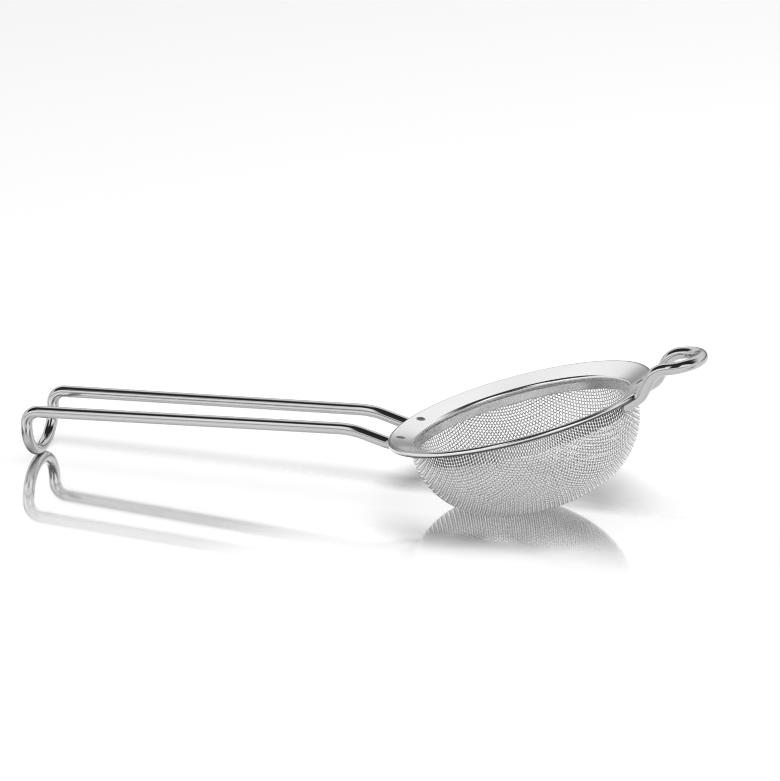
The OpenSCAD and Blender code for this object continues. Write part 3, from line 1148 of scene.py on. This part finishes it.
@dataclass
class WovenBowl:
    """The bowl of plain-woven wire cloth, drawn to shape so that its squares shear at the diagonals."""

    plan: StrainerPlan
    pose: RestPose
    pitch: float = 1.1 * MM
    wire_diameter: float = 0.38 * MM
    lay_turn: float = math.radians(-20.5)
    sides: int = 8
    steps: int = 3
    pieces_each_way: int = 4
    count: int = 58
    solve_rounds: int = 14
    slack: float = 0.02
    least_stub: float = 0.15
    nodes: np.ndarray = field(default_factory=lambda: np.zeros((0, 0, 3)))

    @property
    def rounds(self) -> Pair:
        """Radii of the bottom's and the side's rounds, at the cloth's middle."""
        return self.plan.bottom_r - self.plan.mesh_t / 2, self.plan.side_r - self.plan.mesh_t / 2

    def meridian(self, run: float) -> Pair:
        """Follows the cloth's middle up from the pole.

        Args:
            run: How far.

        Returns:
            The radius and the height there.
        """
        plan, (bottom, side) = self.plan, self.rounds
        turn = math.atan2(plan.side_x, plan.bottom_z + plan.wall_depth)
        if run < bottom * turn:
            return bottom * math.sin(run / bottom), plan.bottom_z - bottom * math.cos(run / bottom)
        run -= bottom * turn
        if run < side * (math.pi / 2 - turn):
            angle = turn + run / side
            return plan.side_x + side * math.sin(angle), -plan.wall_depth - side * math.cos(angle)
        return plan.mesh_mid, -plan.wall_depth + run - side * (math.pi / 2 - turn)

    def surface(self, points: np.ndarray) -> tuple[np.ndarray, np.ndarray]:
        """Each point's distance outside the cloth's middle surface, and the outward direction there.

        Args:
            points: Points in the rim's frame.

        Returns:
            The distances and the unit vectors.
        """
        plan, (bottom, side) = self.plan, self.rounds
        radius = np.maximum(np.hypot(points[:, 0], points[:, 1]), TINY)
        z = points[:, 2]
        flat = points[:, :2] / radius[:, None]
        wall = z > -plan.wall_depth
        low = radius * (plan.bottom_z + plan.wall_depth) < (plan.bottom_z - z) * plan.side_x
        from_pole = np.stack([radius, z - plan.bottom_z], axis=1)
        from_side = np.stack([radius - plan.side_x, z + plan.wall_depth], axis=1)
        from_axis = np.stack([radius, np.zeros_like(z)], axis=1)
        arms = np.where(wall[:, None], from_axis, np.where(low[:, None], from_pole, from_side))
        reach = np.where(wall, plan.mesh_mid, np.where(low, bottom, side))
        size = np.linalg.norm(arms, axis=1)
        arms = arms / size[:, None]
        return size - reach, np.concatenate([flat * arms[:, :1], arms[:, 1:]], axis=1)

    @property
    def turn(self) -> np.ndarray:
        """The turn of the cloth about the bowl's middle, as a 3 by 3 array."""
        return np.array(Matrix.Rotation(self.lay_turn, 3, "Z"))

    def lay_net(self) -> None:
        """Lays a quarter of the cloth's crossings on the bowl, each a pitch from its neighbours."""
        n, a = self.count, self.pitch
        net = np.full((n, n, 3), np.nan)
        for i in range(n):
            r, z = self.meridian(i * a)
            net[i, 0], net[0, i] = (r, 0, z), (0, r, z)
        for total in range(2, 2 * n - 1):
            i = np.arange(max(1, total - n + 1), min(n - 1, total - 1) + 1)
            j = total - i
            left, below = net[i - 1, j], net[i, j - 1]
            p = left + below - net[i - 1, j - 1]
            good = np.isfinite(p).all(axis=1)
            i, j, left, below, p = i[good], j[good], left[good], below[good], p[good]
            for _ in range(self.solve_rounds):
                off, out = self.surface(p)
                to_left, to_below = p - left, p - below
                jacobian = np.stack([2 * to_left, 2 * to_below, out], axis=1) + np.eye(3) * SINGULAR_GUARD
                error = np.stack([(to_left ** 2).sum(1) - a * a, (to_below ** 2).sum(1) - a * a, off], axis=1)
                p = p - np.linalg.solve(jacobian, error[:, :, None])[:, :, 0]
            misses = [self.surface(p)[0], *(np.linalg.norm(p - other, axis=1) - a for other in (left, below))]
            held = (np.abs(misses) < self.slack * a).all(axis=0)
            net[i[held], j[held]] = p[held]
        self.nodes = net

    def wire_line(self, lay: Lay, row: int) -> tuple[np.ndarray, np.ndarray]:
        """One cloth wire's middle line, from edge to edge of the bowl.

        Args:
            lay: The wire's direction.
            row: The wire's number, counted from the middle of the bowl, negative on one side.

        Returns:
            Its points in the rim's frame, and how far each sways out, from -1 to 1.
        """
        half = self.nodes[abs(row)] if lay is Lay.WEFT else self.nodes[:, abs(row)]
        up = np.where(~(half[:, 2] <= self.plan.mesh_top))[0]
        last = int(up[0]) if len(up) else len(half)
        points = half[:last]
        if 0 < last < len(half) and np.isfinite(half[last]).all():
            part = (self.plan.mesh_top - half[last - 1, 2]) / (half[last, 2] - half[last - 1, 2])
            if part > self.least_stub:
                points = np.concatenate([points, [half[last - 1] + part * (half[last] - half[last - 1])]])
        if len(points) < 2:
            return np.zeros((0, 3)), np.zeros(0)
        across, along = (0, 1) if lay is Lay.WEFT else (1, 0)
        row_side, mirror = np.ones(3), np.ones(3)
        row_side[across], mirror[along] = math.copysign(1, row), -1
        points = points * row_side
        whole = np.concatenate([points[:0:-1] * mirror, points])
        steps = np.arange(-(len(points) - 1), len(points))
        at = np.linspace(steps[0], steps[-1], self.steps * (len(steps) - 1) + 1)
        line = np.stack([np.interp(at, steps, whole[:, axis]) for axis in range(3)], axis=1)
        off, out = self.surface(line)
        line = line - out * off[:, None]
        sway = np.cos(math.pi * (at + row)) * (1 if lay is Lay.WARP else -1)
        return line @ self.turn.T, sway

    def build(self, recipe: Recipe, finish: bpy.types.Material) -> list[bpy.types.Object]:
        """Weaves the bowl.

        Args:
            recipe: The tree that makes wires from lines.
            finish: The cloth's material.

        Returns:
            The bowl's pieces, each a band of neighbouring wires.
        """
        self.lay_net()
        pieces = []
        for lay in Lay:
            lines = [self.wire_line(lay, row) for row in range(-self.count + 1, self.count)]
            lines = [(line, sway) for line, sway in lines if len(line) > 2]
            lengths = np.cumsum([len(line) for line, _ in lines])
            share = lengths[-1] / self.pieces_each_way
            for band in range(self.pieces_each_way):
                chosen = [pair for pair, length in zip(lines, lengths)
                          if band * share < length <= (band + 1) * share + 0.5]
                points = np.concatenate([line for line, _ in chosen])
                starts = np.cumsum([0] + [len(line) for line, _ in chosen])
                links = np.arange(len(points) - 1)
                links = links[~np.isin(links + 1, starts)]
                made = mesh_object(f"woven_bowl_{lay.name.lower()}_{band + 1}", self.pose.place(points),
                                   edges=np.column_stack([links, links + 1]))
                mark(made, "sway", np.concatenate([sway for _, sway in chosen]))
                mark(made, "outward", self.surface(points)[1] @ self.pose.matrix.T)
                recipe.apply(made, {"Wire Diameter": self.wire_diameter, "Cloth Thickness": self.plan.mesh_t,
                                    "Sides": self.sides, "Finish": finish})
                pieces.append(made)
        return pieces


# ---------------------------------------------------------------- the studio


@dataclass(frozen=True)
class SoftBox:
    """A soft light, aimed at the strainer, that shines on the table and isn't mirrored in the steel."""

    name: str
    azimuth: float
    elevation: float
    distance: float
    width: float
    height: float
    level: float

    def place(self, target: Vector) -> None:
        """Hangs the light.

        Args:
            target: What it is aimed at.
        """
        light = bpy.data.lights.new(self.name, "AREA")
        light.shape = "RECTANGLE"
        light.size, light.size_y = self.width, self.height
        light.energy = self.level * math.pi * self.width * self.height
        made = bpy.data.objects.new(self.name, light)
        made.visible_glossy = made.visible_camera = False
        az, el = math.radians(self.azimuth), math.radians(self.elevation)
        ahead = Vector((math.sin(az) * math.cos(el), -math.cos(az) * math.cos(el), math.sin(el)))
        made.location = target + ahead * self.distance
        made.rotation_euler = ahead.to_track_quat("Z", "Y").to_euler()
        bpy.context.scene.collection.objects.link(made)


# The levels that every part of the studio shares, from high behind the strainer down to the horizon.
BACK_LEVELS: Levels = ((145, 1.10), (156, 1.02), (160, 1.0), (164, 0.8), (170, 0.4), (180, 0.2))


@dataclass
class Studio:
    """A pale table, glossy near the strainer, in a bright studio with dark bands, and the camera."""

    camera_azimuth: float = math.radians(19.59)
    camera_elevation: float = math.radians(18.54)
    camera_roll: float = math.radians(-0.23)
    camera_distance: float = 1.817
    lens: float = 254.9
    aim_from_middle: Triple = (14.22 * MM, -12.66 * MM, 40.51 * MM)
    aim_height: float = 30 * MM
    sensor_width: float = 36.0
    clip: Pair = (0.05, 50.0)
    filter_width: float = 1.0
    table_size: float = 8.0
    # Each level of light has its angle in degrees, from the front horizon over the top to the back horizon.
    middle_levels: Levels = (
        (0, 0.5), (10, 0.75), (20, 1.1), (28, 1.45), (50, 1.45), (57, 1.0), (63, 0.12), (67, 0.03), (94, 0.03),
        (102, 0.35), (118, 0.9), (128, 1.16), *BACK_LEVELS)
    left_levels: Levels = (
        (0, 0.5), (8, 0.9), (14, 1.45), (32, 1.45), (38, 0.6), (44, 0.05), (108, 0.03), (116, 0.5), (122, 1.05),
        (128, 1.16), *BACK_LEVELS)
    gap_levels: Levels = (
        (0, 0.5), (8, 0.9), (14, 1.2), (20, 0.8), (27, 0.05), (112, 0.03), (122, 0.6), (130, 1.14), *BACK_LEVELS)
    left_edge: Pair = (-0.46, -0.37)
    gap_edges: tuple[Pair, Pair] = ((-0.24, -0.12), (0.34, 0.46))
    plain_ends: Pair = (0.86, 0.94)
    key: SoftBox = SoftBox("key_soft_light", azimuth=62.0, elevation=72.0, distance=3.2, width=1.8, height=1.8,
                           level=29.0)
    table_colour: float = 0.36
    gloss_share: float = 0.9
    gloss_roughness: float = 0.07
    # Each share of gloss has its distance in millimetres in front of the strainer's middle.
    gloss_fade: Levels = (
        (-30, 0.0), (-16, 0.2), (-8, 0.5), (-2, 1.0), (15, 1.0), (25, 0.85), (35, 0.5), (45, 0.25), (55, 0.1),
        (70, 0.0))
    gloss_reach: tuple[Pair, Pair] = ((-40 * MM, 15 * MM), (0.55, 1.0))
    gloss_facing: tuple[Pair, Pair] = ((0.15, 0.62), (0.05, 1.0))

    def table_finish(self) -> bpy.types.Material:
        """Makes the table's pale finish, polished along the middle where the strainer stands.

        Returns:
            The material.
        """
        made = bpy.data.materials.new("pale_table")
        sketch = Sketch.opened(made)
        place = sketch.split(sketch.node("ShaderNodeTexCoord").outputs["Object"])
        back, front = -self.gloss_fade[-1][0] * MM, -self.gloss_fade[0][0] * MM
        near = sketch.math("MULTIPLY", place[1], sketch.ranged(place[0], *self.gloss_reach, True))
        ramp = sketch.node("ShaderNodeValToRGB", {0: sketch.ranged(near, (front, back), (0, 1))})
        self.fill_ramp(ramp, [((-away * MM - front) / (back - front), share * self.gloss_share)
                              for away, share in self.gloss_fade])
        level = self.table_colour
        matt = sketch.node("ShaderNodeBsdfDiffuse", {"Color": (level, level, level, 1)})
        gloss = sketch.node("ShaderNodeBsdfAnisotropic", {"Color": (1, 1, 1, 1), "Roughness": self.gloss_roughness})
        facing = sketch.node("ShaderNodeLayerWeight", {"Blend": 0.5}).outputs["Facing"]
        share = sketch.math("MULTIPLY", ramp.outputs[0], sketch.ranged(facing, *self.gloss_facing, True))
        both = sketch.node("ShaderNodeMixShader", {0: share, 1: matt.outputs[0], 2: gloss.outputs[0]})
        sketch.node("ShaderNodeOutputMaterial", {"Surface": both.outputs[0]})
        return made

    @staticmethod
    def fill_ramp(ramp: bpy.types.Node, stops: Sequence[Pair]) -> None:
        """Fills a colour ramp with grey levels.

        Args:
            ramp: The ramp's node.
            stops: The place and the grey level of each stop.
        """
        elements = ramp.color_ramp.elements
        for index, (place, level) in enumerate(stops):
            stop = elements[index] if index < 2 else elements.new(1.0)
            stop.position = place
            stop.color = (level, level, level, 1)

    def set_table(self) -> None:
        """Lays the table at the height that the strainer rests on."""
        half = self.table_size / 2
        points = np.array([(-half, -half, 0), (half, -half, 0), (half, half, 0), (-half, half, 0)])
        table = mesh_object("table", points, [(0, 1, 2, 3)])
        table.data.materials.append(self.table_finish())

    def set_surroundings(self) -> None:
        """Lights the studio by angle round the strainer's length, from the front over the top to the back."""
        world = bpy.data.worlds.new("studio")
        bpy.context.scene.world = world
        sketch = Sketch.opened(world)
        x, y, z = sketch.split(sketch.node("ShaderNodeTexCoord").outputs["Generated"])
        angle = sketch.math("DIVIDE", sketch.math("ARCTAN2", z, sketch.math("MULTIPLY", y, -1.0)), math.pi)
        peak = max(level for _, level in self.middle_levels + self.left_levels)
        ramps = []
        for levels in (self.middle_levels, self.left_levels, self.gap_levels):
            ramp = sketch.node("ShaderNodeValToRGB", {0: angle})
            self.fill_ramp(ramp, [(turn / 180, level / peak) for turn, level in levels])
            ramps.append(ramp.outputs[0])
        colour = sketch.blend(sketch.eased(x, self.left_edge, FALLING), ramps[0], ramps[1])
        start, end = self.gap_edges
        gap = sketch.math("MULTIPLY", sketch.eased(x, start), sketch.eased(x, end, FALLING))
        colour = sketch.blend(gap, colour, ramps[2])
        colour = sketch.blend(sketch.eased(sketch.math("ABSOLUTE", x), self.plain_ends), colour, (1 / peak,) * 3)
        background = sketch.node("ShaderNodeBackground", {"Color": colour, "Strength": peak})
        sketch.node("ShaderNodeOutputWorld", {"Surface": background.outputs[0]})

    def set_camera(self) -> None:
        """Points the camera at the strainer, from where the eye looks along the handle's side."""
        az, el, roll = self.camera_azimuth, self.camera_elevation, self.camera_roll
        right = Vector((math.cos(az), math.sin(az), 0))
        ahead = Vector((-math.sin(az) * math.cos(el), math.cos(az) * math.cos(el), -math.sin(el)))
        up = right.cross(ahead)
        across = right * math.cos(roll) + up * math.sin(roll)
        upright = up * math.cos(roll) - right * math.sin(roll)
        data = bpy.data.cameras.new("camera")
        data.lens, data.sensor_width = self.lens, self.sensor_width
        data.clip_start, data.clip_end = self.clip
        made = bpy.data.objects.new("camera", data)
        place = Matrix((across, upright, -ahead)).transposed().to_4x4()
        place.translation = Vector(self.aim_from_middle) - ahead * self.camera_distance
        made.matrix_world = place
        bpy.context.scene.collection.objects.link(made)
        bpy.context.scene.camera = made

    def build(self) -> None:
        """Sets up the table, the light and the camera."""
        self.set_table()
        self.set_surroundings()
        self.key.place(Vector((0, 0, self.aim_height)))
        self.set_camera()
        bpy.context.scene.view_settings.view_transform = "Standard"
        bpy.context.scene.cycles.filter_width = self.filter_width


# ---------------------------------------------------------------- the whole strainer


@dataclass
class TeaStrainer:
    """The whole strainer: rim, woven bowl, handle, cup hook and welds."""

    plan: StrainerPlan = field(default_factory=StrainerPlan)
    finishes: Finishes = field(default_factory=Finishes)

    def claim(self, piece: bpy.types.Object, slot: str, *nodes: str) -> None:
        """Hangs a piece under the root, hides the CAD nodes that it stands for, and logs them.

        Args:
            piece: The finished piece.
            slot: Not used.
            nodes: The CAD nodes that it stands for.
        """
        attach(piece, "root")
        if nodes:
            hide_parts(*nodes)
        LOG.info("%s: %d points, %d faces, for %s", piece.name, len(piece.data.vertices),
                 len(piece.data.polygons), ", ".join(nodes) or "no node")

    def build(self) -> None:
        """Makes each sub-assembly in turn."""
        plan, pose = self.plan, RestPose.from_frame(self.plan)
        looks = self.finishes
        sheet, wire, cloth, weld = (finish.material(plan, pose)
                                    for finish in (looks.sheet, looks.wire, looks.cloth, looks.weld))
        sweep, weave = sweep_recipe(), weave_recipe()
        handle, hook = Handle(plan, pose), CupHook(plan, pose)
        self.claim(handle.build("handle_loop_of_wire", sweep, wire), "drawn_wire", "handle_wire")
        self.claim(hook.build("hook_bow_of_wire", sweep, wire), "drawn_wire", "cup_hook")
        rim = Rim(plan, pose, [handle.route(), hook.route()])
        self.claim(rim.build("stamped_rim", sheet), "polished_sheet", "rim_ring")
        for piece in WovenBowl(plan, pose).build(weave, cloth):
            self.claim(piece, "woven_mesh", "mesh_bowl")
        for name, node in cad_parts.items():
            if "weld" in name:
                node.data.materials.clear()
                node.data.materials.append(weld)
                LOG.info("%s: carried over", name)


def main() -> None:
    """Builds the studio and the strainer."""
    logging.basicConfig(level=logging.INFO, format="%(message)s")
    Studio().build()
    TeaStrainer().build()


if __name__ == "__main__":
    main()
